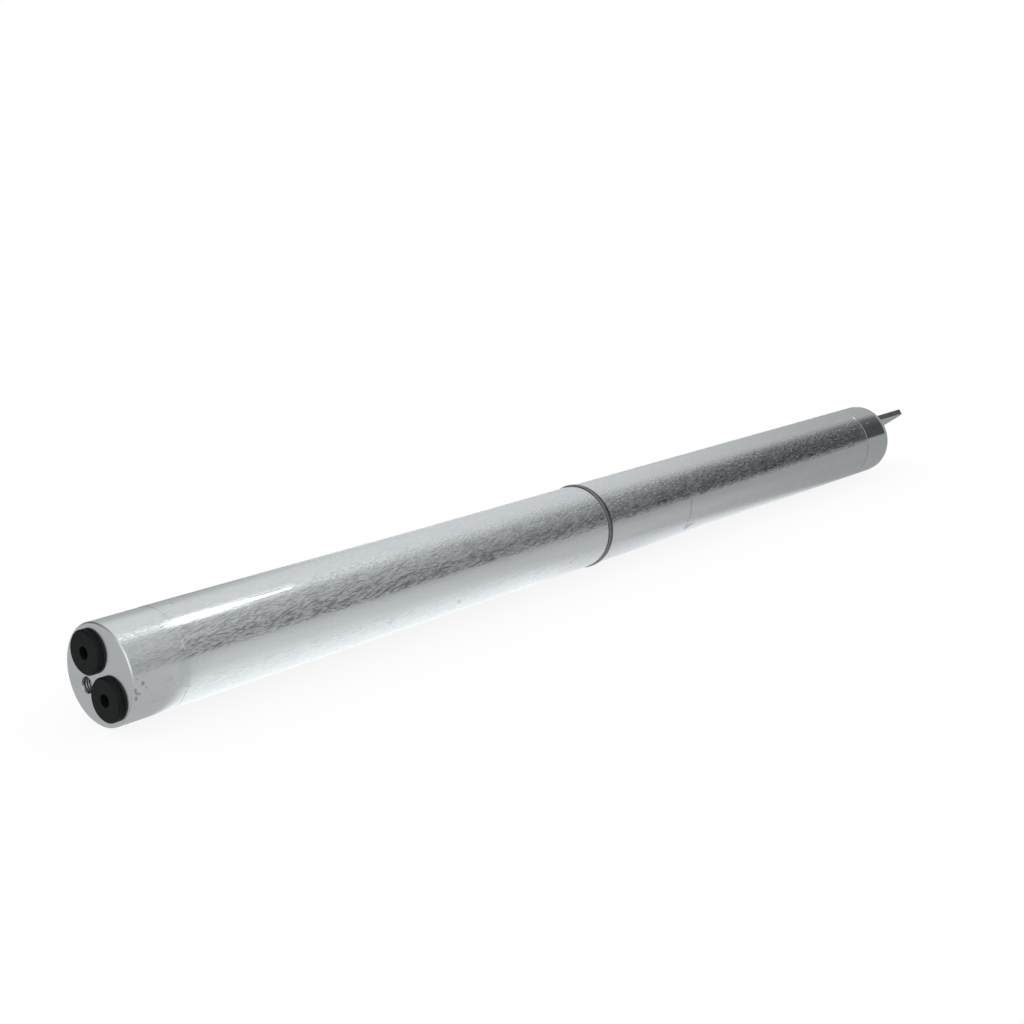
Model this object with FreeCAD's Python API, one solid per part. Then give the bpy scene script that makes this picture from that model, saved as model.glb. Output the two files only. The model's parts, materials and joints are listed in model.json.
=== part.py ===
import FreeCAD, Part
import math
import os

# Filter drier: two drawn aluminium cans joined end to end, lying on their side.
# Millimetres. Origin at the centre of the head face, +X along the tube to the far end, +Z up.

# The two cans
tube_radius = 25.0
wall = 2.5
near_can_length = 353.0
far_can_length = 353.0
cavity_corner_radius = 3.0

# The near end: head and turned band
head_thickness = 30.0
band_length = 31.0
band_step = 0.1
face_chamfer = 0.6

# The far end: ring line, gentle taper and closed base
base_thickness = 7.0
ring_line_from_end = 32.0
ring_line_width = 1.0
ring_line_depth = 0.12
taper_length = 4.5
taper_depth = 0.45
end_edge_radius = 1.0

# The joint between the cans
spigot_length = 8.0
spigot_wall = 1.1
spigot_clearance = 0.05
spigot_chamfer = 0.3
weld_width = 4.6
weld_crown = 0.8
weld_depth = 1.0

# The head's layout: ports opposite each other, the fixing hole square to them, and the
# lug in line with the fixing hole. The angle is how far that line is turned as the tube lies.
layout_turn = 35.0
port_circle = 12.0
fixing_circle = 12.0

# Ports in the head, with the pipe socket behind the outlet
port_radius = 5.5
port_depth = 16.0
port_chamfer = 0.8
passage_radius = 3.6
socket_depth = 10.0

# Threaded fixing hole, M8, drawn at its core diameter
thread_core_radius = 3.4
thread_mouth_radius = 4.2
fixing_depth = 18.0
drill_point_angle = 118.0

# Rubber plugs
plug_flange_radius = 10.8
plug_flange_height = 2.8
plug_bevel = 0.8
plug_back_edge = 0.3
plug_dimple_radius = 3.2
plug_dimple_depth = 4.0
plug_stem_length = 8.0
plug_stem_gap = 0.35
plug_rib_gap = 0.07
plug_rib_width = 1.0
plug_rib_pitch = 2.8
plug_tip_chamfer = 0.8
plug_seat_gap = 0.05

# Lug on the far end
lug_length = 48.5
lug_width = 40.0
lug_thickness = 3.8
lug_offset = 6.5
lug_corner_radius = 9.0
lug_weld_leg = 2.5
lug_weld_inset = 2.0

# Pipe from the outlet to the far end, with its seal. It is joggled sideways inside the
# spring, to run lowest in the column as the tube lies.
pipe_radius = 5.0
pipe_wall = 1.0
pipe_clearance = 0.05
pipe_end_gap = 40.0
pipe_bend_radius = 25.0
pipe_run_y = -1.3
pipe_run_z = -11.6
seal_section = 1.5
seal_groove_width = 2.0

# Inlet baffle on three pressed feet, at angles from the fixing hole's line
baffle_thickness = 1.0
baffle_foot_height = 5.0
baffle_foot_radius = 2.6
baffle_foot_tip_radius = 1.4
baffle_foot_circle = 17.0
baffle_foot_angles = (0.0, 140.0, 220.0)
baffle_hole_radius = 1.8
baffle_hole_circle = 18.6
baffle_hole_count = 12

# Drying column
fit_clearance = 0.2
pipe_hole_clearance = 0.15
spring_length = 30.0
spring_wire_radius = 0.8
spring_side_gap = 1.2
spring_closed_gap = 0.2
spring_active_turns = 2
plate_thickness = 1.5
plate_hole_radius = 2.0
plate_hole_pitch = 8.0
plate_hole_counts = (1, 6, 12)
plate_web = 1.2
pad_thickness = 8.0

# Spacer that carries the pipe in the far can
spacer_from_joint = 210.0
spacer_thickness = 8.0
spacer_rim = 2.0
spacer_hub_wall = 2.5
spacer_spoke = 4.0

# Strainer on the end of the pipe
strainer_collar_length = 8.0
strainer_collar_wall = 1.4
strainer_length = 24.0
strainer_cap_thickness = 2.5
strainer_ribs = 4
strainer_rib_width = 2.0
strainer_mesh_thickness = 0.4
strainer_mesh_gap = 0.05

# Places worked out from the sizes above
over = 1.0
joint_x = near_can_length
tube_length = near_can_length + far_can_length
bore_radius = tube_radius - wall
band_radius = tube_radius - band_step
spigot_radius = bore_radius + spigot_wall
spigot_end_x = joint_x - spigot_length
lower_plate_x = spigot_end_x - plate_thickness
cavity_end_x = tube_length - base_thickness
column_radius = bore_radius - fit_clearance
spring_coil_radius = column_radius - spring_side_gap - spring_wire_radius
baffle_x = head_thickness + baffle_foot_height
spring_x = baffle_x + baffle_thickness
upper_plate_x = spring_x + spring_length
upper_pad_x = upper_plate_x + plate_thickness
bed_x = upper_pad_x + pad_thickness
lower_pad_x = lower_plate_x - pad_thickness
socket_x = head_thickness - socket_depth
seal_x = socket_x + socket_depth / 2
pipe_end_x = cavity_end_x - pipe_end_gap

X_AXIS = FreeCAD.Vector(1, 0, 0)
ORIGIN = FreeCAD.Vector(0, 0, 0)


def on_circle(radius, degrees):
    """The (y, z) of a point on a circle round the tube's axis."""
    angle = math.radians(degrees)
    return radius * math.cos(angle), radius * math.sin(angle)


inlet_y, inlet_z = on_circle(port_circle, 90 - layout_turn)
outlet_y, outlet_z = on_circle(port_circle, -90 - layout_turn)
fixing_y, fixing_z = on_circle(fixing_circle, -layout_turn)


def rounded_outline(corners):
    """A closed outline in the XY plane. Each corner is (x, y) or (x, y, rounding radius)."""
    count = len(corners)
    turns = []
    for i in range(count):
        here = FreeCAD.Vector(corners[i][0], corners[i][1], 0)
        back = FreeCAD.Vector(corners[i - 1][0], corners[i - 1][1], 0) - here
        ahead = FreeCAD.Vector(corners[(i + 1) % count][0], corners[(i + 1) % count][1], 0) - here
        back.normalize()
        ahead.normalize()
        radius = corners[i][2] if len(corners[i]) > 2 else 0
        half = back.getAngle(ahead) / 2
        reach = radius / math.tan(half)
        middle = here
        if radius:
            inward = back + ahead
            inward.normalize()
            middle = here + inward * (radius / math.sin(half) - radius)
        turns.append((here + back * reach, middle, here + ahead * reach, radius))
    edges = []
    for i in range(count):
        start, middle, end, radius = turns[i]
        if radius:
            edges.append(Part.Arc(start, middle, end).toShape())
        edges.append(Part.LineSegment(end, turns[(i + 1) % count][0]).toShape())
    return Part.Wire(edges)


def turned(corners, y=0, z=0):
    """A solid turned about a line along X at (y, z). Corners are (x, radius) with optional rounding."""
    solid = Part.Face(rounded_outline(corners)).revolve(ORIGIN, X_AXIS, 360)
    solid.translate(FreeCAD.Vector(0, y, z))
    return solid


def disc(radius, start, end, y=0, z=0):
    """A round bar along X from start to end."""
    return Part.makeCylinder(radius, end - start, FreeCAD.Vector(start, y, z), X_AXIS)


def ring(outer, inner, start, end, y=0, z=0):
    """A round tube along X from start to end."""
    return disc(outer, start, end, y, z).cut(disc(inner, start - over, end + over, y, z))


def port_bore(y, z):
    """What is cut for a port: a bevelled mouth, the bore for the pipe end and the passage."""
    mouth = port_radius + port_chamfer + over
    return turned([
        (-over, 0),
        (-over, mouth),
        (port_chamfer, port_radius),
        (port_depth, port_radius),
        (port_depth, passage_radius),
        (head_thickness + over, passage_radius),
        (head_thickness + over, 0),
    ], y, z)


def pipe_socket():
    """What is cut behind the outlet: the pipe's socket, with a groove for the seal."""
    radius = pipe_radius + pipe_clearance
    socket = disc(radius, socket_x, head_thickness + over, outlet_y, outlet_z)
    groove_radius = pipe_radius + seal_section + pipe_clearance
    groove_start = seal_x - seal_groove_width / 2
    groove = disc(groove_radius, groove_start, groove_start + seal_groove_width, outlet_y, outlet_z)
    return socket.fuse(groove)


def fixing_bore():
    """What is cut for the threaded hole: countersunk mouth, core bore and drill point."""
    countersink = thread_mouth_radius - thread_core_radius
    point = thread_core_radius / math.tan(math.radians(drill_point_angle / 2))
    return turned([
        (-over, 0),
        (-over, thread_mouth_radius + over),
        (countersink, thread_core_radius),
        (fixing_depth, thread_core_radius),
        (fixing_depth + point, 0),
    ], fixing_y, fixing_z)


def near_shell():
    """The near can: thick head, turned band, open mouth recessed for the other can."""
    recess_radius = spigot_radius + spigot_clearance
    can = turned([
        (0, 0),
        (0, band_radius - face_chamfer),
        (face_chamfer, band_radius),
        (band_length - band_step, band_radius),
        (band_length, tube_radius),
        (joint_x - weld_width / 2, tube_radius),
        (joint_x, tube_radius - weld_depth),
        (joint_x, recess_radius),
        (lower_plate_x, recess_radius),
        (lower_plate_x, bore_radius),
        (head_thickness, bore_radius, cavity_corner_radius),
        (head_thickness, 0),
    ])
    bores = [port_bore(inlet_y, inlet_z), port_bore(outlet_y, outlet_z), pipe_socket(), fixing_bore()]
    return can.cut(bores)


def far_shell():
    """The far can: spigot that enters the near can, ring line, tapered end and closed base."""
    ring_line_x = tube_length - ring_line_from_end
    return turned([
        (spigot_end_x, bore_radius),
        (spigot_end_x, spigot_radius - spigot_chamfer),
        (spigot_end_x + spigot_chamfer, spigot_radius),
        (joint_x, spigot_radius),
        (joint_x, tube_radius - weld_depth),
        (joint_x + weld_width / 2, tube_radius),
        (ring_line_x - ring_line_width / 2, tube_radius),
        (ring_line_x, tube_radius - ring_line_depth),
        (ring_line_x + ring_line_width / 2, tube_radius),
        (tube_length - taper_length, tube_radius),
        (tube_length, tube_radius - taper_depth, end_edge_radius),
        (tube_length, 0),
        (cavity_end_x, 0),
        (cavity_end_x, bore_radius, cavity_corner_radius),
    ])


def girth_weld():
    """The weld that fills the groove between the cans and stands a little proud."""
    toe = weld_width / 2
    left = FreeCAD.Vector(joint_x - toe, tube_radius, 0)
    top = FreeCAD.Vector(joint_x, tube_radius + weld_crown, 0)
    right = FreeCAD.Vector(joint_x + toe, tube_radius, 0)
    root = FreeCAD.Vector(joint_x, tube_radius - weld_depth, 0)
    outline = Part.Wire([
        Part.Arc(left, top, right).toShape(),
        Part.LineSegment(right, root).toShape(),
        Part.LineSegment(root, left).toShape(),
    ])
    return Part.Face(outline).revolve(ORIGIN, X_AXIS, 360)


def plug(y, z):
    """A rubber transport plug: bevelled flange with a dimple, ribbed stem in the port."""
    front = -plug_seat_gap - plug_flange_height
    back = -plug_seat_gap
    stem_radius = port_radius - plug_stem_gap
    body = turned([
        (front + plug_dimple_depth, 0),
        (front + plug_dimple_depth, plug_dimple_radius),
        (front, plug_dimple_radius),
        (front, plug_flange_radius - plug_bevel),
        (front + plug_bevel, plug_flange_radius),
        (back, plug_flange_radius, plug_back_edge),
        (back, stem_radius),
        (plug_stem_length - plug_tip_chamfer, stem_radius),
        (plug_stem_length, stem_radius - plug_tip_chamfer),
        (plug_stem_length, 0),
    ], y, z)
    for i in (1, 2):
        middle = port_chamfer + i * plug_rib_pitch - plug_rib_width / 2
        rib_radius = port_radius - plug_rib_gap
        slope = rib_radius - stem_radius
        rib = turned([
            (middle - plug_rib_width / 2 - slope, stem_radius - slope),
            (middle - plug_rib_width / 2, rib_radius),
            (middle + plug_rib_width / 2, rib_radius),
            (middle + plug_rib_width / 2 + slope, stem_radius - slope),
        ], y, z)
        body = body.fuse(rib)
    return body.removeSplitter()


def to_lug_plane(shape):
    """Turns what is drawn flat round the tube's axis into the lug's own plane."""
    shape.rotate(ORIGIN, X_AXIS, -layout_turn)
    return shape


def mounting_lug():
    """The flat lug on the far end, with rounded free corners."""
    half = lug_width / 2
    tip = tube_length + lug_length
    outline = rounded_outline([
        (tube_length, -half),
        (tip, -half, lug_corner_radius),
        (tip, half, lug_corner_radius),
        (tube_length, half),
    ])
    plate = Part.Face(outline).extrude(FreeCAD.Vector(0, 0, lug_thickness))
    plate.translate(FreeCAD.Vector(0, 0, lug_offset - lug_thickness / 2))
    return to_lug_plane(plate)


def lug_welds():
    """Two fillets along the foot of the lug, one on each broad side."""
    half = lug_width / 2 - lug_weld_inset
    fillets = []
    for side in (-1, 1):
        face_z = lug_offset + side * lug_thickness / 2
        corner = FreeCAD.Vector(tube_length, -half, face_z)
        out = FreeCAD.Vector(tube_length + lug_weld_leg, -half, face_z)
        up = FreeCAD.Vector(tube_length, -half, face_z + side * lug_weld_leg)
        bulge = 0.6 * lug_weld_leg
        middle = FreeCAD.Vector(tube_length + bulge, -half, face_z + side * bulge)
        outline = Part.Wire([
            Part.LineSegment(corner, out).toShape(),
            Part.Arc(out, middle, up).toShape(),
            Part.LineSegment(up, corner).toShape(),
        ])
        fillets.append(Part.Face(outline).extrude(FreeCAD.Vector(0, 2 * half, 0)))
    return to_lug_plane(Part.makeCompound(fillets))


def pickup_pipe():
    """The pipe from its socket behind the outlet to the strainer, with a joggle of two bends."""
    aside = FreeCAD.Vector(0, pipe_run_y - outlet_y, pipe_run_z - outlet_z)
    shift = aside.Length
    aside.normalize()
    bend = math.acos(1 - shift / (2 * pipe_bend_radius))
    joggle_length = 2 * pipe_bend_radius * math.sin(bend)
    joggle_x = spring_x + (spring_length - joggle_length) / 2
    inner = pipe_radius - pipe_wall
    start = FreeCAD.Vector(joggle_x, outlet_y, outlet_z)
    section = Part.Face([
        Part.Wire(Part.makeCircle(pipe_radius, start, X_AXIS)),
        Part.Wire(Part.makeCircle(inner, start, X_AXIS)),
    ])
    axis = X_AXIS.cross(aside)
    first_centre = start + aside * pipe_bend_radius
    first = section.revolve(first_centre, axis, math.degrees(bend))
    section.rotate(first_centre, axis, math.degrees(bend))
    end = start + aside * shift + X_AXIS * joggle_length
    second = section.revolve(end - aside * pipe_bend_radius, -axis, math.degrees(bend))
    near_run = ring(pipe_radius, inner, socket_x, joggle_x, outlet_y, outlet_z)
    far_run = ring(pipe_radius, inner, joggle_x + joggle_length, pipe_end_x, pipe_run_y, pipe_run_z)
    return near_run.fuse([first, second, far_run])


def pickup_seal():
    """The rubber ring round the pipe, in the socket's groove."""
    section = seal_section / 2
    centre = pipe_radius + pipe_clearance / 2 + section
    return Part.makeTorus(centre, section, FreeCAD.Vector(seal_x, outlet_y, outlet_z), X_AXIS)


def inlet_baffle():
    """A round plate on three pressed feet that spreads what comes in."""
    plate = disc(column_radius, baffle_x, baffle_x + baffle_thickness)
    for angle in baffle_foot_angles:
        y, z = on_circle(baffle_foot_circle, angle - layout_turn)
        foot = turned([
            (head_thickness, 0),
            (head_thickness, baffle_foot_tip_radius),
            (baffle_x, baffle_foot_radius),
            (baffle_x, 0),
        ], y, z)
        plate = plate.fuse(foot)
    holes = [pipe_hole(baffle_x, baffle_thickness, outlet_y, outlet_z)]
    for i in range(baffle_hole_count):
        y, z = on_circle(baffle_hole_circle, (i + 0.5) * 360 / baffle_hole_count)
        beside_pipe = math.hypot(y - outlet_y, z - outlet_z)
        if leaves_web(beside_pipe, baffle_hole_radius) and clear_of_feet(y, z, baffle_hole_radius):
            holes.append(disc(baffle_hole_radius, baffle_x - over, spring_x + over, y, z))
    return plate.cut(holes)


def leaves_web(distance, radius):
    """Whether a hole at that distance from the pipe's middle leaves a web of metal between them."""
    return distance > pipe_radius + radius + plate_web


def clear_of_feet(y, z, radius):
    """Whether a hole leaves a web of metal beside each foot."""
    feet = [on_circle(baffle_foot_circle, angle - layout_turn) for angle in baffle_foot_angles]
    return min(math.hypot(y - a, z - b) for a, b in feet) > baffle_foot_radius + radius


def pipe_hole(start, thickness, y=pipe_run_y, z=pipe_run_z):
    """What is cut where the pipe passes through a plate, a pad or the bed."""
    return disc(pipe_radius + pipe_hole_clearance, start - over, start + thickness + over, y, z)


def column_spring():
    """The spring between the baffle and the upper plate, with a closed turn at each end.

    It is a chain of half turns, each an arc in its own tilted plane, tangent to the next.
    """
    closed_pitch = 2 * spring_wire_radius + spring_closed_gap
    active_pitch = (spring_length - 2 * spring_wire_radius - 2 * closed_pitch) / spring_active_turns
    closed_turn = [closed_pitch / 2] * 2
    rises = closed_turn + [active_pitch / 2] * 2 * spring_active_turns + closed_turn
    x = spring_x + spring_wire_radius
    side = 1
    half_turns = []
    for rise in rises:
        start = FreeCAD.Vector(x, side * spring_coil_radius, 0)
        end = FreeCAD.Vector(x + rise, -side * spring_coil_radius, 0)
        centre = (start + end) / 2
        tangent = FreeCAD.Vector(0, 0, side)
        axis = (start - centre).cross(tangent)
        section = Part.Face(Part.Wire(Part.makeCircle(spring_wire_radius, start, tangent)))
        half_turns.append(section.revolve(centre, axis, 180))
        x += rise
        side = -side
    return half_turns[0].fuse(half_turns[1:])


def perforated_plate(start, radius):
    """A plate with rings of round holes, left whole round the pipe's hole."""
    holes = [pipe_hole(start, plate_thickness)]
    for row, count in enumerate(plate_hole_counts):
        for i in range(count):
            y, z = on_circle(row * plate_hole_pitch, i * 360 / count)
            if leaves_web(math.hypot(y - pipe_run_y, z - pipe_run_z), plate_hole_radius):
                holes.append(disc(plate_hole_radius, start - over, start + plate_thickness + over, y, z))
    return disc(radius, start, start + plate_thickness).cut(holes)


def round_layer(start, end):
    """A layer of the drying column, with the pipe's hole."""
    return disc(column_radius, start, end).cut(pipe_hole(start, end - start))


def tube_spacer():
    """A rim against the can, a hub round the pipe and two spokes at right angles."""
    start = joint_x + spacer_from_joint
    end = start + spacer_thickness
    rim = ring(column_radius, column_radius - spacer_rim, start, end)
    hub = disc(pipe_radius + spacer_hub_wall, start, end, pipe_run_y, pipe_run_z)
    length = 2 * column_radius - spacer_rim
    corner = FreeCAD.Vector(start, -length / 2, -spacer_spoke / 2)
    spoke = Part.makeBox(spacer_thickness, length, spacer_spoke, corner)
    frame = rim.fuse(hub)
    hub_angle = math.degrees(math.atan2(pipe_run_z, pipe_run_y))
    for quarter in (0, 90):
        arm = spoke.copy()
        arm.rotate(ORIGIN, X_AXIS, hub_angle + quarter)
        frame = frame.fuse(arm)
    frame = frame.common(disc(column_radius, start, end))
    pipe = disc(pipe_radius + pipe_clearance, start - over, end + over, pipe_run_y, pipe_run_z)
    return frame.cut(pipe).removeSplitter()


def strainer_frame():
    """The strainer's moulding: collar on the pipe, ribs along the screen, closed cap."""
    outer = pipe_radius + pipe_clearance + strainer_collar_wall
    collar_x = pipe_end_x - strainer_collar_length
    cap_x = pipe_end_x + strainer_length
    collar = ring(outer, pipe_radius + pipe_clearance, collar_x, pipe_end_x, pipe_run_y, pipe_run_z)
    cap = disc(outer, cap_x, cap_x + strainer_cap_thickness, pipe_run_y, pipe_run_z)
    frame = collar.fuse(cap)
    rib_inner = pipe_radius + pipe_clearance
    cage = ring(outer, rib_inner, pipe_end_x, cap_x, pipe_run_y, pipe_run_z)
    for i in range(strainer_ribs):
        corner = FreeCAD.Vector(pipe_end_x, 0, -strainer_rib_width / 2)
        bar = Part.makeBox(strainer_length, outer + over, strainer_rib_width, corner)
        bar.rotate(ORIGIN, X_AXIS, i * 360 / strainer_ribs)
        bar.translate(FreeCAD.Vector(0, pipe_run_y, pipe_run_z))
        frame = frame.fuse(bar.common(cage))
    return frame.removeSplitter()


def strainer_mesh():
    """The fine screen, a sleeve inside the ribs."""
    outer = pipe_radius + pipe_clearance - strainer_mesh_gap
    inner = outer - strainer_mesh_thickness
    start = pipe_end_x + strainer_mesh_gap
    end = pipe_end_x + strainer_length - strainer_mesh_gap
    return ring(outer, inner, start, end, pipe_run_y, pipe_run_z)


def main():
    """Builds every piece and writes one file for each."""
    lower_plate_radius = spigot_radius - fit_clearance / 2
    pieces = {
        "near_shell": near_shell(),
        "far_shell": far_shell(),
        "girth_weld": girth_weld(),
        "mounting_lug": mounting_lug(),
        "lug_welds": lug_welds(),
        "inlet_plug": plug(inlet_y, inlet_z),
        "outlet_plug": plug(outlet_y, outlet_z),
        "inlet_baffle": inlet_baffle(),
        "column_spring": column_spring(),
        "upper_plate": perforated_plate(upper_plate_x, column_radius),
        "upper_pad": round_layer(upper_pad_x, bed_x),
        "desiccant_bed": round_layer(bed_x, lower_pad_x),
        "lower_pad": round_layer(lower_pad_x, lower_plate_x),
        "lower_plate": perforated_plate(lower_plate_x, lower_plate_radius),
        "pickup_pipe": pickup_pipe(),
        "pickup_seal": pickup_seal(),
        "tube_spacer": tube_spacer(),
        "strainer_frame": strainer_frame(),
        "strainer_mesh": strainer_mesh(),
    }
    os.makedirs("parts", exist_ok=True)
    for name, shape in pieces.items():
        shape.exportStep("parts/" + name + ".step")
        box = shape.BoundBox
        print(name, len(shape.Solids), "solid", shape.isValid(), round(shape.Volume, 1),
              "x %.1f to %.1f" % (box.XMin, box.XMax))


main()
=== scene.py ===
import json
import math

import bmesh
import bpy
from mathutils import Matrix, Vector


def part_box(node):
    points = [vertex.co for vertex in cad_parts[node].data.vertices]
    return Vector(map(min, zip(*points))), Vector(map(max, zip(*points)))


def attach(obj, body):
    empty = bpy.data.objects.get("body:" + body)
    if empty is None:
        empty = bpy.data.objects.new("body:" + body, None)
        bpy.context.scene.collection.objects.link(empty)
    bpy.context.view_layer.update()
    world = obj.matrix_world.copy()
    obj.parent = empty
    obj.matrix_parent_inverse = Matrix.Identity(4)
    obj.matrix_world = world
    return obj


# Filter drier: looks, small details, light and camera. Metres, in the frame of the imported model.
# Materials work in millimetres of the same frame. Angles round the tube are in degrees, from the
# viewer's side (-Y) at 0 to the top (+Z) at 90.

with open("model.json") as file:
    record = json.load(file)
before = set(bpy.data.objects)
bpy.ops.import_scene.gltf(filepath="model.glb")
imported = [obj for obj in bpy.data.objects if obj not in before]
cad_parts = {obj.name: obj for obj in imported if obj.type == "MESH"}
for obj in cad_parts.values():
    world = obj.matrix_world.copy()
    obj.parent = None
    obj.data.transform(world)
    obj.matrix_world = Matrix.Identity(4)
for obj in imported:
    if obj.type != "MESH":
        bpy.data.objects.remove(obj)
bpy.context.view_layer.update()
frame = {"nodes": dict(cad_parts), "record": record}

MM = 0.001

# Sizes and places read from the frame
mounts = {mount["name"]: mount for mount in frame["record"]["mounts"]}
near_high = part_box("near_shell")[1]
far_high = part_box("far_shell")[1]
weld_low, weld_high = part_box("girth_weld")
tube_radius = near_high.z
tube_length = far_high.x
joint_x = (weld_low.x + weld_high.x) / 2
floor_z = weld_low.z
fixing = Vector(mounts["fixing_hole"]["pos_m"])
fixing_radius = mounts["fixing_hole"]["dims"]["r_mm"] * MM
layout_turn = math.atan2(-fixing.z, fixing.y)

# Bands of the tube, in millimetres from the head
near_band_end = 31.0
far_band_start = tube_length / MM - 32.0
ring_line_x = far_band_start - 0.3

# Camera, worked out from the outlines in the photograph
camera_place = Vector((-0.4178, -0.5955, 0.2515))
camera_forward = Vector((0.7425, 0.6246, -0.2419))
camera_lens = 57.74
camera_sensor = 36.0
camera_clip_start = 0.01

# Colours, as linear red, green and blue, and 1
white = (1, 1, 1, 1)
bloom_grey = (0.60, 0.62, 0.60, 1)
stain_brown = (0.34, 0.27, 0.20, 1)
weld_grey = (0.28, 0.28, 0.27, 1)
# Painted shade for the weld's far side and painted shadow for its toes
weld_far_side_shade = (0.085, 0.085, 0.077, 1)
weld_toe_shadow = (0.07, 0.07, 0.066, 1)
black_rubber = (0.0075, 0.008, 0.0085, 1)
black_rubber_bloom = (0.011, 0.0115, 0.012, 1)
green_rubber = (0.02, 0.16, 0.08, 1)
green_rubber_bloom = (0.03, 0.22, 0.12, 1)
felt = (0.88, 0.87, 0.83, 1)
# Painted shade between the lumps of the felt
felt_gap_shade = (0.62, 0.60, 0.55, 1)
beads = (0.80, 0.74, 0.62, 1)
# Painted shade between the beads
bead_gap_shade = (0.30, 0.26, 0.20, 1)
nylon = (0.86, 0.86, 0.83, 1)
nylon_shade = (0.78, 0.78, 0.74, 1)


class Tree:
    """Builds a node tree step by step. Each call returns an output socket."""

    def __init__(self, owner):
        owner.use_nodes = True
        self.tree = owner.node_tree
        self.tree.nodes.clear()

    def add(self, kind, **settings):
        node = self.tree.nodes.new(kind)
        for name, value in settings.items():
            setattr(node, name, value)
        return node

    def put(self, socket, value):
        if isinstance(value, bpy.types.NodeSocket):
            self.tree.links.new(value, socket)
        else:
            socket.default_value = value

    def put_all(self, sockets, values):
        for socket, value in zip(sockets, values):
            self.put(socket, value)

    def put_named(self, node, **values):
        """Keys are the node's socket names with _ for a space."""
        for name, value in values.items():
            self.put(node.inputs[name.replace("_", " ")], value)

    def math(self, operation, *values, clamp=False):
        node = self.add("ShaderNodeMath", operation=operation, use_clamp=clamp)
        self.put_all(node.inputs, values)
        return node.outputs[0]

    def total(self, *values):
        result = values[0]
        for value in values[1:]:
            result = self.math("ADD", result, value)
        return result

    def product(self, *values):
        result = values[0]
        for value in values[1:]:
            result = self.math("MULTIPLY", result, value)
        return result

    def strongest(self, *values):
        """The largest of several values."""
        result = values[0]
        for value in values[1:]:
            result = self.math("MAXIMUM", result, value)
        return result

    def difference(self, value, taken):
        return self.math("SUBTRACT", value, taken)

    def inverse(self, value):
        return self.difference(1.0, value)

    def size_of(self, value):
        return self.math("ABSOLUTE", value)

    def distance(self, first, second):
        """How far a point with these two numbers lies from zero."""
        return self.math("SQRT", self.total(self.product(first, first), self.product(second, second)))

    def span(self, value, low, high, start=0.0, end=1.0):
        """start at low, end at high, smooth in between. low may be the larger of the two."""
        node = self.add("ShaderNodeMapRange", interpolation_type="SMOOTHSTEP", clamp=True)
        self.put_named(node, Value=value, From_Min=low, From_Max=high, To_Min=start, To_Max=end)
        return node.outputs[0]

    def window(self, value, low, high, soft):
        """1 from low to high, 0 outside. Either end is soft over twice the width given."""
        return self.product(
            self.span(value, low - soft, low + soft),
            self.span(value, high - soft, high + soft, 1.0, 0.0),
        )

    def steps(self, value, points):
        """A curve of (value, result) points, in straight lines."""
        start, end = points[0][0], points[-1][0]
        results = [result for _, result in points]
        least, reach = min(results), max(results) - min(results)
        place = self.add("ShaderNodeMapRange", clamp=True)
        self.put_named(place, Value=value, From_Min=start, From_Max=end)
        ramp = self.add("ShaderNodeValToRGB")
        elements = ramp.color_ramp.elements
        while len(elements) < len(points):
            elements.new(0.5)
        for element, (at, result) in zip(elements, points):
            share = (result - least) / reach
            element.position = (at - start) / (end - start)
            element.color = (share, share, share, 1)
        self.put(ramp.inputs[0], place.outputs[0])
        return self.math("MULTIPLY_ADD", ramp.outputs[0], reach, least)

    def mix(self, factor, first, second):
        """A colour between the first, at factor 0, and the second, at factor 1."""
        node = self.add("ShaderNodeMix", data_type="RGBA")
        self.put_all((node.inputs[0], node.inputs[6], node.inputs[7]), (factor, first, second))
        return node.outputs[2]

    def coats(self, colour, coats):
        """The colour under several coats, each a (factor, colour) pair."""
        for factor, coat in coats:
            colour = self.mix(factor, colour, coat)
        return colour

    def vector(self, operation, *values):
        node = self.add("ShaderNodeVectorMath", operation=operation)
        self.put_all(node.inputs, values)
        return node.outputs[1 if operation == "DOT_PRODUCT" else 0]

    def noise(self, place, frequency, detail, offset, rough=0.5):
        """Noise from about 0.25 to 0.75. frequency is per millimetre, one number or one for each axis."""
        if isinstance(frequency, float):
            frequency = (frequency,) * 3
        moved = self.vector("MULTIPLY_ADD", place, frequency, (offset, offset * 0.7, -offset))
        node = self.add("ShaderNodeTexNoise", noise_dimensions="3D")
        self.put_named(node, Vector=moved, Scale=1.0, Detail=detail, Roughness=rough)
        return node.outputs[0]

    def place(self):
        """The point on the surface, in millimetres, and its three numbers."""
        coordinates = self.add("ShaderNodeTexCoord")
        scaled = self.vector("SCALE", coordinates.outputs["Object"])
        scaled.node.inputs["Scale"].default_value = 1 / MM
        return (scaled, *self.parts(scaled))

    def parts(self, vector):
        """The three numbers of a vector."""
        node = self.add("ShaderNodeSeparateXYZ")
        self.put(node.inputs[0], vector)
        return tuple(node.outputs)

    def twisted(self, place, x, degrees_per_mm):
        """The point turned about the tube's axis in step with x, for marks that run at a slant."""
        node = self.add("ShaderNodeVectorRotate", rotation_type="X_AXIS")
        self.put_named(node, Vector=place, Angle=self.product(x, math.radians(degrees_per_mm)))
        return node.outputs[0]

    def round_angle(self, y, z):
        """The angle round the tube, in degrees."""
        return self.product(self.math("ARCTAN2", z, self.product(y, -1.0)), math.degrees(1))

    def bump(self, height, distance_mm):
        node = self.add("ShaderNodeBump")
        self.put_named(node, Distance=distance_mm * MM, Height=height)
        return node.outputs[0]

    def surface(self, **values):
        """The shader at the end of a material's tree, by its socket names with _ for a space."""
        shader = self.add("ShaderNodeBsdfPrincipled")
        self.put_named(shader, **values)
        output = self.add("ShaderNodeOutputMaterial")
        self.put(output.inputs[0], shader.outputs[0])


def material(name):
    """A new material and its tree."""
    made = bpy.data.materials.new(name)
    return made, Tree(made)


def cool(level):
    """A neutral colour a little on the blue side, as in the photograph."""
    tint = 0.012
    return (level * (1 - 2 * tint), level, level * (1 + tint), 1)


def grey(level):
    """A plain grey colour."""
    return (level, level, level, 1)


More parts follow.
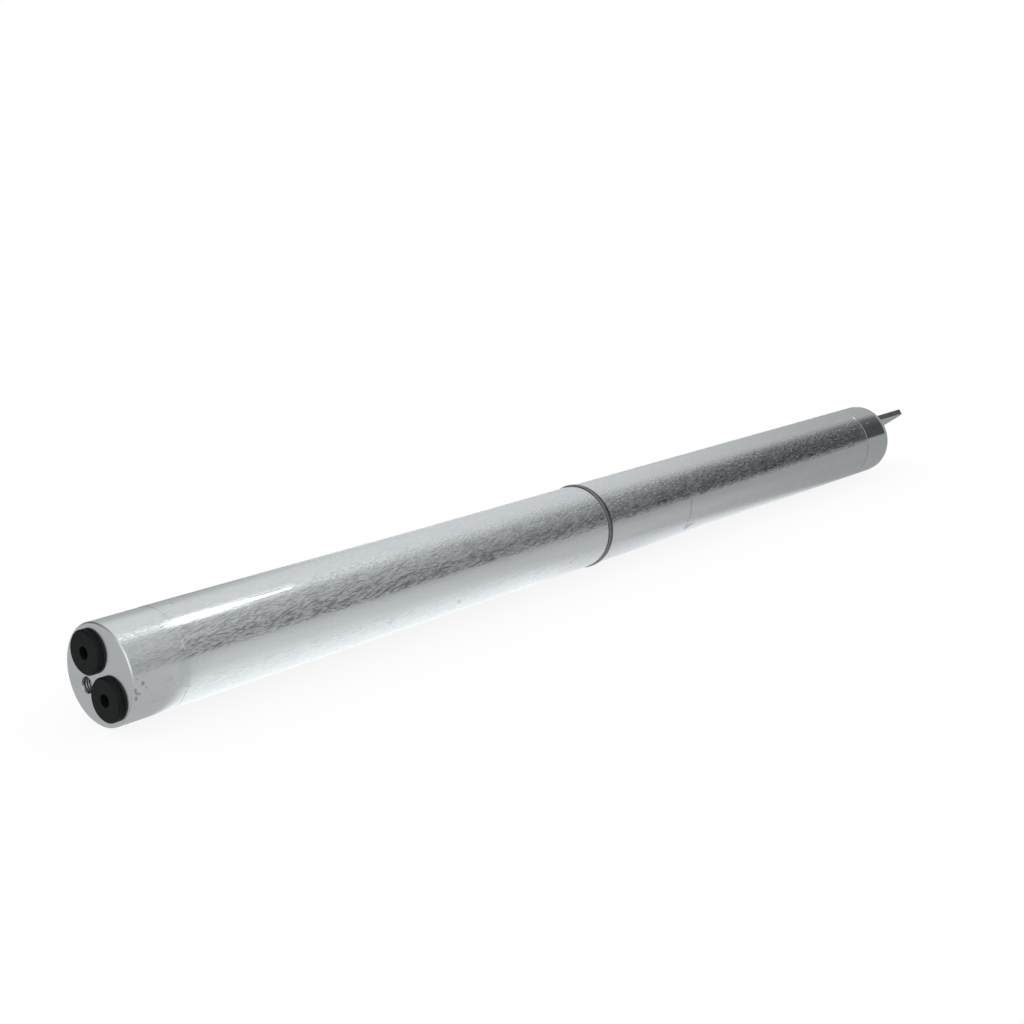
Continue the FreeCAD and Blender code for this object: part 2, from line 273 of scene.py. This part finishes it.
def mark(tree, x, angle, at_x, at_angle, half_x, half_round, slant=0.0, ragged=None):
    """1 inside a small oval mark on the tube, 0 outside.

    Its middle is at at_x, in millimetres, and at_angle, in degrees. half_x and half_round are half its
    sizes in millimetres, before it is turned by slant, in degrees. ragged is a noise for its edge.
    """
    mm_per_degree = math.radians(tube_radius / MM)
    along = tree.difference(x, at_x)
    across = tree.product(tree.difference(angle, at_angle), mm_per_degree)
    cos, sin = math.cos(math.radians(slant)), math.sin(math.radians(slant))
    u = tree.total(tree.product(along, cos / half_x), tree.product(across, sin / half_x))
    v = tree.total(tree.product(along, -sin / half_round), tree.product(across, cos / half_round))
    distance = tree.total(tree.product(u, u), tree.product(v, v))
    if ragged is not None:
        raggedness = 5.0
        distance = tree.total(distance, tree.product(tree.difference(ragged, 0.5), raggedness))
    return tree.span(distance, 0.4, 1.3, 1.0, 0.0)


def marks_at(tree, x, angle, places, ragged=None):
    """One mark for each of the places: at_x, at_angle, half_x, half_round and slant, as in mark."""
    return [mark(tree, x, angle, *place, ragged=ragged) for place in places]


def box_mark(tree, x, angle, low_x, high_x, low_angle, high_angle, soft_x, soft_angle):
    """1 inside a soft-edged patch of the tube, 0 outside."""
    return tree.product(
        tree.window(x, low_x, high_x, soft_x),
        tree.window(angle, low_angle, high_angle, soft_angle),
    )


def dash_layers(tree, place, x):
    """Three noises of thin dashes, each with its own slant round the tube."""
    layers = []
    for degrees_per_mm, length, width, offset in (
        (0.28, 8.0, 0.65, 0.0),
        (-0.32, 6.5, 0.6, 31.0),
        (0.65, 9.0, 0.9, 57.0),
    ):
        frequency = (1 / length, 1 / width, 1 / width)
        layers.append(tree.noise(tree.twisted(place, x, degrees_per_mm), frequency, 2.5, offset, 0.6))
    return layers


def dash_pattern(tree, x, layers, fine, blotch):
    """1 on the matt dashes of the skin, 0 between them. There are fewer towards the far end."""
    pattern = tree.total(
        tree.product(tree.strongest(*layers), 0.75),
        tree.product(tree.total(*layers), 0.10),
        tree.product(fine, 0.30),
        tree.product(tree.difference(blotch, 0.5), 0.25),
        -0.16,
    )
    limit = tree.steps(x, (
        (0.0, 0.47), (60.0, 0.50), (130.0, 0.54), (240.0, 0.56), (400.0, 0.58), (700.0, 0.61),
    ))
    return tree.span(tree.difference(pattern, limit), -0.13, 0.13)


def pale_dashes(tree, x, angle, layers):
    """Dashes on the upper front that catch the light."""
    return tree.product(
        tree.span(tree.strongest(layers[0], layers[1]), 0.52, 0.64),
        tree.steps(angle, ((38.0, 0.0), (46.0, 0.5), (53.0, 1.0), (60.0, 0.7), (70.0, 0.0))),
        tree.steps(x, ((100.0, 0.0), (140.0, 0.6), (345.0, 0.6), (500.0, 0.5), (640.0, 0.0))),
    )


def dark_dashes_and_painted_reflection(tree, x, angle, layers):
    """Dark dashes, mostly in a broad stripe on the viewer's side: partly marks of the skin, partly
    painted reflection where the tube mirrors the dark room.
    """
    lowest = tree.math("MINIMUM", tree.math("MINIMUM", layers[0], layers[1]), layers[2])
    return tree.product(
        tree.span(lowest, 0.47, 0.36),
        tree.steps(angle, (
            (-60.0, 0.0), (-45.0, 0.15), (-16.0, 0.22), (-9.0, 0.0), (11.0, 0.0), (14.0, 1.0),
            (27.0, 0.95), (34.0, 0.65), (46.0, 0.5), (51.0, 0.05), (62.0, 0.1), (100.0, 0.12),
            (150.0, 0.12),
        )),
        tree.steps(x, (
            (0.0, 0.2), (24.0, 0.3), (34.0, 0.85), (130.0, 0.95), (345.0, 0.85), (420.0, 0.75),
            (670.0, 0.6), (674.0, 0.0),
        )),
    )


def small_flecks(tree, x, angle, grain):
    """Small pale flecks where the grain is high."""
    return tree.product(
        tree.span(grain, 0.53, 0.64),
        tree.steps(angle, (
            (10.0, 0.0), (14.0, 0.7), (40.0, 0.8), (56.0, 1.0), (66.0, 0.7), (80.0, 0.3), (150.0, 0.3),
        )),
        tree.steps(x, (
            (0.0, 0.4), (30.0, 0.6), (345.0, 0.75), (400.0, 0.8), (672.0, 0.7), (676.0, 0.0),
        )),
    )


def pits_and_painted_reflection(tree, x, angle, grain):
    """Small dark pits where the grain is low: partly pits, partly painted reflection, as they are painted
    mostly where the tube mirrors the dark room.
    """
    return tree.product(
        tree.span(grain, 0.44, 0.35),
        tree.steps(angle, (
            (-70.0, 0.0), (-40.0, 0.3), (-20.0, 0.35), (-9.0, 0.0), (10.0, 0.0), (14.0, 0.6),
            (46.0, 0.5), (51.0, 0.3), (62.0, 0.2), (100.0, 0.15), (150.0, 0.15),
        )),
        tree.steps(x, (
            (0.0, 0.5), (30.0, 1.0), (345.0, 1.0), (400.0, 0.7), (672.0, 0.6), (676.0, 0.0),
        )),
    )


def skin_of_can(tree, place, x, angle, outside):
    """How matt the drawn skin is, its height, its dark marks, partly painted reflection, and its polished
    stripe.

    The skin is covered with thin dashes at three slants, finer flecks and pits. They get weaker towards
    the far end and on the turned bands. A stripe behind the head is polished and has none.
    """
    layers = dash_layers(tree, place, x)
    fine = tree.noise(place, (0.6, 2.2, 2.2), 2.0, 11.0, 0.6)
    blotch = tree.noise(tree.twisted(place, x, 0.1), (0.06, 0.25, 0.25), 2.0, 19.0)
    grain = tree.noise(tree.twisted(place, x, 0.15), (0.35, 1.3, 1.3), 3.0, 83.0, 0.65)
    dashed = dash_pattern(tree, x, layers, fine, blotch)
    flecks = small_flecks(tree, x, angle, grain)

    # 1 on the drawn part of the skin, 0 on the turned band at either end
    past_near_band = tree.span(
        tree.total(x, tree.product(blotch, 8.0)), near_band_end - 2, near_band_end + 5,
    )
    before_far_band = tree.span(x, far_band_start - 0.3, far_band_start + 0.3, 1.0, 0.0)

    polished = tree.product(
        tree.span(x, 22.0, 34.0), tree.span(x, 98.0, 112.0, 1.0, 0.0),
        tree.span(angle, 47.0, 51.0), tree.span(angle, 57.0, 63.0, 1.0, 0.0),
        0.9,
    )
    kept = tree.product(outside, tree.inverse(polished))

    # How matt it is
    strength = tree.steps(x, (
        (0.0, 0.45), (100.0, 0.45), (140.0, 0.50), (345.0, 0.42), (400.0, 0.25), (700.0, 0.17),
    ))
    haze = tree.mix(
        past_near_band, tree.total(0.2, tree.product(fine, 0.4)), tree.product(dashed, strength),
    )
    haze = tree.product(haze, tree.total(tree.product(before_far_band, 0.75), 0.25))
    haze = tree.product(tree.strongest(haze, pale_dashes(tree, x, angle, layers), flecks), kept)

    # Height: the dashes and a fine grain all over, and flecks that stand up on the upper front
    dash_relief = tree.product(
        dashed,
        tree.total(tree.product(past_near_band, 0.55), 0.45),
        tree.total(tree.product(before_far_band, 0.8), 0.2),
    )
    fine_relief = tree.product(fine, tree.total(0.8, tree.product(past_near_band, -0.5)))
    calmer = tree.steps(x, ((345.0, 1.0), (400.0, 0.7), (700.0, 0.55)))
    relief = tree.product(tree.total(dash_relief, fine_relief), kept, calmer)
    upper_front = tree.steps(angle, ((30.0, 0.0), (42.0, 1.0), (60.0, 1.0), (75.0, 0.2), (100.0, 0.0)))
    fewer = tree.steps(x, ((345.0, 1.0), (420.0, 0.35), (700.0, 0.2)))
    relief = tree.total(relief, tree.product(flecks, upper_front, fewer, kept, 2.2))

    # Dark marks, painted mostly where the tube mirrors the dark room: partly marks, partly painted
    # reflection
    dark = tree.strongest(dark_dashes_and_painted_reflection(tree, x, angle, layers), pits_and_painted_reflection(tree, x, angle, grain))
    return haze, relief, tree.product(dark, kept), polished


def can_material(name, marks):
    """Drawn aluminium: polished metal under a matt dashed skin, fine turned rings on the end faces.

    marks(tree, x, angle, ragged) returns (stain, scratches with a painted highlight, darker marks,
    bloom), each from 0 to 1.
    """
    made, tree = material(name)
    place, x, y, z = tree.place()
    angle = tree.round_angle(y, z)
    radius = tree.distance(y, z)
    skin_radius = tube_radius / MM
    outside = tree.span(radius, skin_radius - 0.9, skin_radius - 0.7)
    ragged = tree.noise(place, 0.9, 3.0, 7.0)
    haze, relief, dark, polished = skin_of_can(tree, place, x, angle, outside)
    stain, scratch_and_painted_highlight, darker_marks, bloom = marks(tree, x, angle, ragged)

    # Turned rings on the end faces, five to the millimetre
    rings = tree.add("ShaderNodeTexNoise", noise_dimensions="1D")
    tree.put(rings.inputs["W"], tree.product(radius, 5.0))
    turned = tree.product(rings.outputs[0], tree.inverse(outside))

    # The fine ring line at the far band, and painted shade inside the fixing hole
    from_ring_line = tree.size_of(tree.total(x, -ring_line_x))
    ring_line = tree.product(tree.span(from_ring_line, 1.3, 0.9), outside)
    from_hole = tree.distance(tree.total(y, -fixing.y / MM), tree.total(z, -fixing.z / MM))
    painted_shade_in_hole = tree.product(
        tree.span(from_hole, 4.4, 5.0, 1.0, 0.0),
        tree.span(x, 0.02, 0.2),
        tree.span(x, 25.0, 26.0, 1.0, 0.0),
    )

    tree.surface(
        Base_Color=tree.coats(cool(0.84), (
            (haze, cool(0.92)),
            # Painted reflection: the dark dashes and pits, darkest where the tube mirrors the dark room
            (dark, cool(0.32)),
            (ring_line, cool(0.68)),
            # Painted shade inside the fixing hole
            (painted_shade_in_hole, cool(0.25)),
            (tree.product(bloom, 0.55), bloom_grey),
            (tree.product(darker_marks, 0.55), cool(0.42)),
            # Scratches and nicks, and on the near can a painted highlight along its rim
            (tree.product(scratch_and_painted_highlight, 0.8), cool(0.98)),
            (tree.product(stain, 0.8), stain_brown),
        )),
        Metallic=tree.inverse(tree.product(haze, 0.3)),
        Roughness=tree.total(
            0.11,
            tree.product(polished, -0.05),
            tree.product(haze, 0.28),
            tree.product(turned, 0.12),
            tree.product(tree.strongest(scratch_and_painted_highlight, darker_marks, stain), 0.3),
        ),
        Normal=tree.bump(tree.total(relief, tree.product(scratch_and_painted_highlight, -0.5)), 0.035),
    )
    return made


def near_marks(tree, x, angle, ragged):
    """Brown specks by the head, scratches, a painted highlight along the rim by the weld, nicks and a
    dull patch where the turned band ends.
    """
    specks = marks_at(tree, x, angle, (
        (2.3, 7.0, 0.5, 0.4, 0),
        (5.0, 1.5, 1.0, 1.0, 40),
        (7.2, -4.5, 1.2, 0.3, -50),
        (1.3, -6.0, 0.9, 1.9, 10),
        (3.2, -9.0, 1.0, 0.8, -35),
        (1.6, -13.5, 0.9, 1.1, 20),
    ), ragged)
    scratches = marks_at(tree, x, angle, (
        (39.5, 40.0, 4.6, 0.16, 48),
        (45.0, 46.0, 1.6, 0.14, 60),
        (21.5, 64.0, 2.6, 0.16, 38),
        (29.6, 26.0, 1.5, 0.7, 10),
    ))
    nicks = marks_at(tree, x, angle, (
        (41.0, 85.0, 1.3, 0.7, 55),
        (142.0, -18.0, 0.4, 1.0, 0),
        (165.0, -26.0, 1.6, 1.2, 0),
        (220.0, -31.0, 1.2, 2.2, 30),
        (318.0, -28.0, 1.8, 0.8, 0),
    ), ragged)
    lip_x = weld_low.x / MM
    # Painted highlight: a pale line along the rim of the can next to the weld, where its bevel catches
    # the light
    painted_rim_highlight = box_mark(tree, x, angle, lip_x - 0.5, lip_x, -20.0, 65.0, 0.1, 4.0)
    tick = mark(tree, x, angle, 338.5, 9.0, 0.3, 2.2)
    patch = tree.product(
        box_mark(tree, x, angle, 26.0, 32.4, -19.0, 22.0, 1.4, 3.0),
        tree.total(0.2, tree.product(ragged, 0.5)),
    )
    smudge = mark(tree, x, angle, 20.0, -3.0, 2.6, 1.8, 0, ragged)
    return (
        tree.product(tree.strongest(*specks), 0.75),
        tree.strongest(*scratches, painted_rim_highlight),
        tree.strongest(*(tree.product(nick, 0.6) for nick in nicks), tree.product(tick, 0.5)),
        tree.strongest(patch, tree.product(smudge, 0.4)),
    )


def far_marks(tree, x, angle, ragged):
    """A darker ring band and its smudges on the far can, and a few light nicks at its end. No stain."""
    ring = tree.strongest(
        box_mark(tree, x, angle, 438.2, 440.4, -38.0, 13.0, 0.9, 3.0),
        box_mark(tree, x, angle, 437.6, 440.0, 94.0, 106.0, 0.9, 3.0),
    )
    smudges = marks_at(tree, x, angle, (
        (443.5, -33.0, 5.0, 1.5, 6),
        (448.0, 91.0, 0.8, 1.0, 20),
        (441.0, -38.0, 3.0, 1.2, -10),
    ), ragged)
    nicks = marks_at(tree, x, angle, (
        (684.0, 44.0, 1.2, 0.4, 30),
        (679.0, 66.0, 1.6, 0.3, 20),
        (662.0, 41.0, 1.0, 0.4, 20),
    ))
    darker_ring_band = tree.product(ring, tree.total(0.10, tree.product(ragged, 0.7)))
    return (
        0.0,
        tree.strongest(*nicks),
        tree.strongest(darker_ring_band, *smudges),
        tree.product(ring, 0.35),
    )


def plain_metal(name, level, roughness, grain, depth):
    """Plain metal with a fine directional grain.

    level is its brightness, grain its frequency per millimetre on each axis and depth in millimetres.
    """
    made, tree = material(name)
    place = tree.place()[0]
    lines = tree.noise(place, grain, 3.0, 3.0, 0.65)
    cloud = tree.noise(place, 0.15, 2.0, 5.0)
    colour = tree.mix(tree.span(lines, 0.35, 0.65), cool(level * 0.9), cool(level))
    tree.surface(
        Base_Color=tree.mix(tree.product(tree.span(cloud, 0.4, 0.65), 0.3), colour, cool(level * 0.78)),
        Metallic=1.0,
        Roughness=tree.total(roughness, tree.product(lines, 0.15)),
        Normal=tree.bump(lines, depth),
    )
    return made


def weld_material():
    """Smooth weld bead with ripples round the tube. Its far side is darker, as painted shade, and its
    toes darker still, as painted shadow in the creases.
    """
    made, tree = material("weld_metal")
    place, x, y, z = tree.place()
    uneven = tree.noise(place, 0.25, 3.0, 13.0)
    ripple = tree.math("SINE", tree.total(
        tree.product(tree.round_angle(y, z), 1.6), tree.product(uneven, 9.0),
    ))
    half_width = (weld_high.x - weld_low.x) / 2 / MM
    across = tree.product(tree.difference(x, joint_x / MM), 1 / half_width)
    wandering = tree.total(across, tree.product(tree.difference(uneven, 0.5), 0.8))
    tree.surface(
        Base_Color=tree.coats(weld_grey, (
            # Painted shade on the far side of the bead and painted shadow at its toes
            (tree.span(wandering, -0.5, 0.3), weld_far_side_shade),
            (tree.span(tree.size_of(across), 0.75, 0.95), weld_toe_shadow),
        )),
        Metallic=1.0,
        Roughness=tree.total(0.22, tree.product(uneven, 0.18)),
        Normal=tree.bump(ripple, 0.03),
    )
    return made


def lug_material():
    """Plain plate on the broad faces. The sheared edges, torn metal with bright flecks, are painted dark,
    as painted reflection of the dark room.
    """
    made, tree = material("lug_aluminium")
    place = tree.place()[0]
    geometry = tree.add("ShaderNodeNewGeometry")
    plate_normal = (0, math.sin(layout_turn), math.cos(layout_turn))
    facing = tree.vector("DOT_PRODUCT", geometry.outputs["True Normal"], plate_normal)
    broad = tree.span(tree.size_of(facing), 0.6, 0.8)
    sheared = tree.inverse(broad)
    grain = tree.noise(place, (0.2, 2.0, 2.0), 3.0, 3.0)
    torn = tree.noise(place, (0.5, 2.6, 2.6), 4.0, 9.0, 0.7)
    tree.surface(
        # The edges' dark colour is painted reflection; the broad faces are coated lighter
        Base_Color=tree.coats(cool(0.20), (
            (broad, cool(0.80)),
            (tree.product(tree.span(torn, 0.56, 0.64), sheared), cool(0.75)),
        )),
        Metallic=1.0,
        Roughness=tree.mix(broad, grey(0.42), grey(0.26)),
        Normal=tree.bump(tree.total(tree.product(torn, sheared), tree.product(grain, 0.15)), 0.25),
    )
    return made


def rubber_material(name, colour, bloomed, roughness, gloss):
    """Moulded rubber: fine matt grain and a little bloom."""
    made, tree = material(name)
    place = tree.place()[0]
    grain = tree.noise(place, 4.0, 3.0, 3.0)
    bloom = tree.noise(place, 0.25, 3.0, 17.0)
    tree.surface(
        Base_Color=tree.mix(tree.span(bloom, 0.35, 0.7), colour, bloomed),
        Specular_IOR_Level=gloss,
        Roughness=tree.total(roughness, tree.product(grain, 0.2)),
        Normal=tree.bump(grain, 0.03),
    )
    return made


def soft_material(name, colour, gap_shade, lumps_per_mm, depth):
    """Felt or beads: rounded lumps, with painted shade between them."""
    made, tree = material(name)
    place = tree.place()[0]
    cells = tree.add("ShaderNodeTexVoronoi", feature="F1")
    tree.put_named(cells, Vector=place, Scale=lumps_per_mm)
    gap = tree.span(cells.outputs["Distance"], 0.35, 0.75)
    fuzz = tree.noise(place, 3.0, 3.0, 3.0)
    tree.surface(
        # Painted shade between the lumps
        Base_Color=tree.mix(tree.total(tree.product(gap, 0.7), tree.product(fuzz, 0.2)), colour, gap_shade),
        Roughness=0.85,
        Normal=tree.bump(tree.total(tree.inverse(gap), tree.product(fuzz, 0.3)), depth),
    )
    return made


def moulded_material(name, colour, shade):
    """Moulded plastic with a faint texture."""
    made, tree = material(name)
    texture = tree.noise(tree.place()[0], 1.5, 3.0, 3.0)
    tree.surface(
        Base_Color=tree.mix(tree.span(texture, 0.3, 0.7), shade, colour),
        Roughness=tree.total(0.38, tree.product(texture, 0.15)),
        Normal=tree.bump(texture, 0.03),
    )
    return made


def mesh_material():
    """Woven wire screen: crossed wires, with painted shade in the openings between them."""
    made, tree = material("steel_mesh")
    x, y, z = tree.place()[1:]
    around = tree.product(tree.round_angle(y, z), 1.6)
    wires = [tree.size_of(tree.math("SINE", tree.product(value, 7.0))) for value in (x, around)]
    weave = tree.math("MINIMUM", *wires)
    tree.surface(
        # Painted shade in the openings between the wires
        Base_Color=tree.mix(tree.span(weave, 0.15, 0.45), cool(0.08), cool(0.55)),
        Metallic=1.0,
        Roughness=0.32,
        Normal=tree.bump(weave, 0.08),
    )
    return made


def dress():
    """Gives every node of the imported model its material."""
    for made, nodes in (
        (can_material("drawn_aluminium_near", near_marks), ("near_shell",)),
        (can_material("drawn_aluminium_far", far_marks), ("far_shell",)),
        (weld_material(), ("girth_weld", "lug_welds")),
        (lug_material(), ("mounting_lug",)),
        (
            rubber_material("black_rubber", black_rubber, black_rubber_bloom, 0.42, 0.2),
            ("inlet_plug", "outlet_plug"),
        ),
        (
            plain_metal("pressed_aluminium", 0.78, 0.24, (0.2, 2.0, 2.0), 0.03),
            ("inlet_baffle", "upper_plate", "lower_plate"),
        ),
        (plain_metal("spring_steel", 0.46, 0.22, 1.0, 0.02), ("column_spring",)),
        (soft_material("felt", felt, felt_gap_shade, 1.8, 0.25), ("upper_pad", "lower_pad")),
        (soft_material("desiccant", beads, bead_gap_shade, 0.5, 0.9), ("desiccant_bed",)),
        (plain_metal("pipe_aluminium", 0.76, 0.2, (0.15, 2.5, 2.5), 0.02), ("pickup_pipe",)),
        (
            rubber_material("green_rubber", green_rubber, green_rubber_bloom, 0.35, 0.5),
            ("pickup_seal",),
        ),
        (moulded_material("white_nylon", nylon, nylon_shade), ("tube_spacer", "strainer_frame")),
        (mesh_material(), ("strainer_mesh",)),
    ):
        for node in nodes:
            mesh = frame["nodes"][node].data
            mesh.materials.clear()
            mesh.materials.append(made)


def to_camera(tree, level, seen):
    """The level in a cool tint, but for the camera what is given as seen."""
    tinted = tree.vector("MULTIPLY", level, cool(1.0)[:3])
    camera_ray = tree.add("ShaderNodeLightPath").outputs["Is Camera Ray"]
    return tree.mix(camera_ray, tinted, seen)


def light_world():
    """The studio round the object, white to the camera.

    east, north and up are the direction's three numbers, and around is its angle about the tube's line,
    in degrees: 0 level in front, 90 straight up, 180 level behind. The tube mirrors a dark room in
    front, a bright wall behind, and over the head a bright strip. Below the edge it mirrors the far end
    of the table. The levels are brightness by east, from the head's side at -1 to the far end's at 1.
    """
    world = bpy.data.worlds.new("studio")
    bpy.context.scene.world = world
    tree = Tree(world)
    coordinates = tree.add("ShaderNodeTexCoord")
    east, north, up = tree.parts(coordinates.outputs["Generated"])
    around = tree.product(tree.math("ARCTAN2", up, tree.product(north, -1.0)), math.degrees(1))
    room_low = tree.steps(east, (
        (-1.0, 1.1), (-0.6, 1.0), (-0.3, 0.5), (0.3, 0.30), (0.59, 0.42), (0.64, 0.37), (0.70, 0.28),
        (0.757, 0.16), (0.80, 0.07), (0.85, 0.06), (0.90, 0.06), (0.925, 0.33), (0.975, 0.33),
        (0.99, 0.03),
    ))
    room_high = tree.steps(east, (
        (-1.0, 1.1), (-0.6, 1.0), (-0.3, 0.5), (0.3, 0.45), (0.59, 0.60), (0.64, 0.52), (0.70, 0.42),
        (0.757, 0.33), (0.80, 0.11), (0.85, 0.06), (0.90, 0.06), (0.925, 0.33), (0.975, 0.33),
        (0.99, 0.03),
    ))
    shoulder = tree.steps(east, (
        (-1.0, 1.0), (0.3, 0.60), (0.60, 0.54), (0.66, 0.46), (0.71, 0.46), (0.757, 0.46),
        (0.787, 0.32), (0.804, 0.19), (0.84, 0.13), (0.88, 0.11), (0.90, 0.11), (0.925, 0.36),
        (0.975, 0.36), (0.99, 0.03),
    ))
    wall = tree.steps(east, (
        (-1.0, 0.50), (-0.6, 0.40), (-0.3, 0.12), (0.0, 0.15), (0.4, 0.65), (0.59, 0.77), (0.66, 0.75),
        (0.757, 0.72), (0.80, 0.63), (0.83, 0.53), (0.86, 0.42), (1.0, 0.36),
    ))
    low_wall = tree.product(wall, tree.steps(east, (
        (0.5, 0.56), (0.60, 0.58), (0.64, 0.80), (0.67, 0.95), (0.75, 1.0),
    )))
    far_off = tree.steps(east, (
        (-1.0, 0.50), (0.3, 0.55), (0.56, 0.47), (0.58, 0.47), (0.60, 0.58), (0.66, 0.53),
        (0.757, 0.46), (0.82, 0.38), (0.90, 0.34), (1.0, 0.33),
    ))
    strip_half = tree.steps(east, ((0.585, 7.2), (0.60, 6.0), (0.615, 4.2), (0.635, 1.7), (0.65, 0.5)))
    strip_middle = 86.5
    from_strip = tree.size_of(tree.total(around, -strip_middle))
    strip = tree.product(
        tree.span(tree.difference(strip_half, from_strip), -1.2, 1.2),
        tree.steps(east, (
            (0.50, 0.0), (0.555, 0.9), (0.578, 1.1), (0.585, 1.9), (0.62, 1.9), (0.64, 1.2), (0.66, 0.4),
            (0.70, 0.0),
        )),
    )
    above = tree.coats(room_low, (
        (tree.span(around, 15.0, 50.0), room_high),
        (tree.span(around, 50.0, 76.0), shoulder),
        (tree.span(around, 76.0, 102.0), wall),
        (tree.span(around, 132.0, 162.0), low_wall),
    ))
    above = tree.total(above, strip)
    edge = tree.steps(east, ((0.60, 0.040), (0.77, 0.050), (0.79, 0.082), (0.84, 0.080), (0.87, 0.112)))
    level = tree.mix(tree.span(tree.difference(up, edge), -0.008, 0.008), far_off, above)
    background = tree.add("ShaderNodeBackground")
    tree.put(background.inputs["Color"], to_camera(tree, level, white))
    output = tree.add("ShaderNodeOutputWorld")
    tree.put(output.inputs[0], background.outputs[0])


def floor_material():
    """A lit white table: white to the camera, with a faint soft shadow where the object stands.

    In the metal it shows brightest under the tube, a painted shadow beside the head, and pale behind the
    tube.
    """
    made, tree = material("lit_table")
    x, y = tree.place()[1:3]
    # Painted shadow on the table beside the head, seen in the metal
    painted_shadow_beside_head = grey(0.465)
    open_table = tree.steps(x, (
        (-100.0, 0.47), (60.0, 0.60), (120.0, 0.62), (180.0, 0.59), (260.0, 0.57), (310.0, 0.525),
        (430.0, 0.48), (570.0, 0.415), (640.0, 0.37), (830.0, 0.345), (1000.0, 0.34),
    ))
    past_head = tree.span(tree.total(x, tree.product(y, 0.7)), 14.0, 27.0)
    front = tree.mix(past_head, painted_shadow_beside_head, open_table)

    # The glow under the tube grows from its start, in millimetres in front of the axis
    beside = tree.product(tree.size_of(y), -1.0)
    glow_start = tree.steps(x, (
        (0.0, -60.0), (100.0, -56.0), (300.0, -48.0), (400.0, -38.0), (500.0, -27.0), (600.0, -19.0),
        (665.0, -13.0), (710.0, -9.0),
    ))
    glow_full = -7.0
    nearness = tree.math(
        "DIVIDE", tree.difference(beside, glow_start), tree.difference(glow_full, glow_start), clamp=True,
    )
    glow = tree.steps(x, (
        (0.0, 1.18), (300.0, 1.14), (350.0, 0.85), (400.0, 0.90), (480.0, 1.12), (540.0, 1.08),
        (600.0, 0.90), (660.0, 0.60), (700.0, 0.42), (715.0, 0.37),
    ))
    front = tree.mix(tree.product(nearness, past_head), front, glow)
    back = tree.steps(tree.total(x, tree.product(y, -0.9)), (
        (-100.0, 0.47), (-35.0, 0.12), (0.0, 0.20), (30.0, 0.60), (130.0, 1.20), (200.0, 1.40),
        (340.0, 1.35), (440.0, 1.10), (570.0, 0.82), (640.0, 0.78), (730.0, 0.90), (900.0, 0.90),
    ))
    level = tree.mix(tree.span(y, 50.0, 85.0), front, back)

    shadow_depth = 0.1
    hidden = tree.add("ShaderNodeAmbientOcclusion", samples=8)
    hidden.inputs["Distance"].default_value = 0.06
    shade = tree.total(1 - shadow_depth, tree.product(hidden.outputs["AO"], shadow_depth))
    light = tree.add("ShaderNodeEmission")
    tree.put(light.inputs["Color"], to_camera(tree, level, shade))
    output = tree.add("ShaderNodeOutputMaterial")
    tree.put(output.inputs[0], light.outputs[0])
    return made


def floor():
    """The table's top, at the lowest point of the tube."""
    half = 3.0
    mesh = bpy.data.meshes.new("table_top")
    corners = [(-half, -half), (half, -half), (half, half), (-half, half)]
    mesh.from_pydata([(x, y, floor_z) for x, y in corners], [], [(0, 1, 2, 3)])
    mesh.materials.append(floor_material())
    top = bpy.data.objects.new("table_top", mesh)
    bpy.context.collection.objects.link(top)


def thread():
    """The thread in the fixing hole: one ridge that winds along its wall."""
    pitch, height = 1.25 * MM, 0.32 * MM
    start, end = 0.9 * MM, 16.5 * MM
    root_radius = fixing_radius - 0.01 * MM
    steps_per_turn, steps_to_fade, least_height = 36, 9, 0.02
    # The ridge's section: places along the axis in pitches, and heights as shares of its own
    section = ((-0.42, 0.0), (-0.08, 1.0), (0.08, 1.0), (0.42, 0.0))
    corners = len(section)
    count = int((end - start) / pitch * steps_per_turn)
    shape = bmesh.new()
    previous = None
    for i in range(count + 1):
        turn = 2 * math.pi * i / steps_per_turn
        x = start + pitch * i / steps_per_turn
        fade = max(least_height, min(1.0, i / steps_to_fade, (count - i) / steps_to_fade))
        row = []
        for along, share in section:
            r = root_radius - share * height * fade
            row.append(shape.verts.new((
                x + along * pitch,
                fixing.y + r * math.cos(turn),
                fixing.z + r * math.sin(turn),
            )))
        if previous:
            for j in range(corners):
                k = (j + 1) % corners
                shape.faces.new((previous[j], previous[k], row[k], row[j]))
        else:
            shape.faces.new(row)
        previous = row
    shape.faces.new(list(reversed(previous)))
    bmesh.ops.recalc_face_normals(shape, faces=shape.faces)
    mesh = bpy.data.meshes.new("fixing_thread")
    shape.to_mesh(mesh)
    shape.free()
    # The thread is painted darker than the aluminium it is cut in: painted shade inside the hole
    mesh.materials.append(plain_metal("cut_thread_painted_shade", 0.40, 0.26, (4.0, 0.6, 0.6), 0.01))
    piece = bpy.data.objects.new("fixing_thread", mesh)
    bpy.context.collection.objects.link(piece)
    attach(piece, "drier")


def add_camera():
    """The photograph's camera."""
    data = bpy.data.cameras.new("camera")
    data.lens = camera_lens
    data.sensor_width = camera_sensor
    data.clip_start = camera_clip_start
    made = bpy.data.objects.new("camera", data)
    made.location = camera_place
    made.rotation_euler = camera_forward.to_track_quat("-Z", "Y").to_euler()
    bpy.context.collection.objects.link(made)
    bpy.context.scene.camera = made


dress()
light_world()
floor()
thread()
add_camera()
bpy.context.scene.view_settings.view_transform = "Standard"
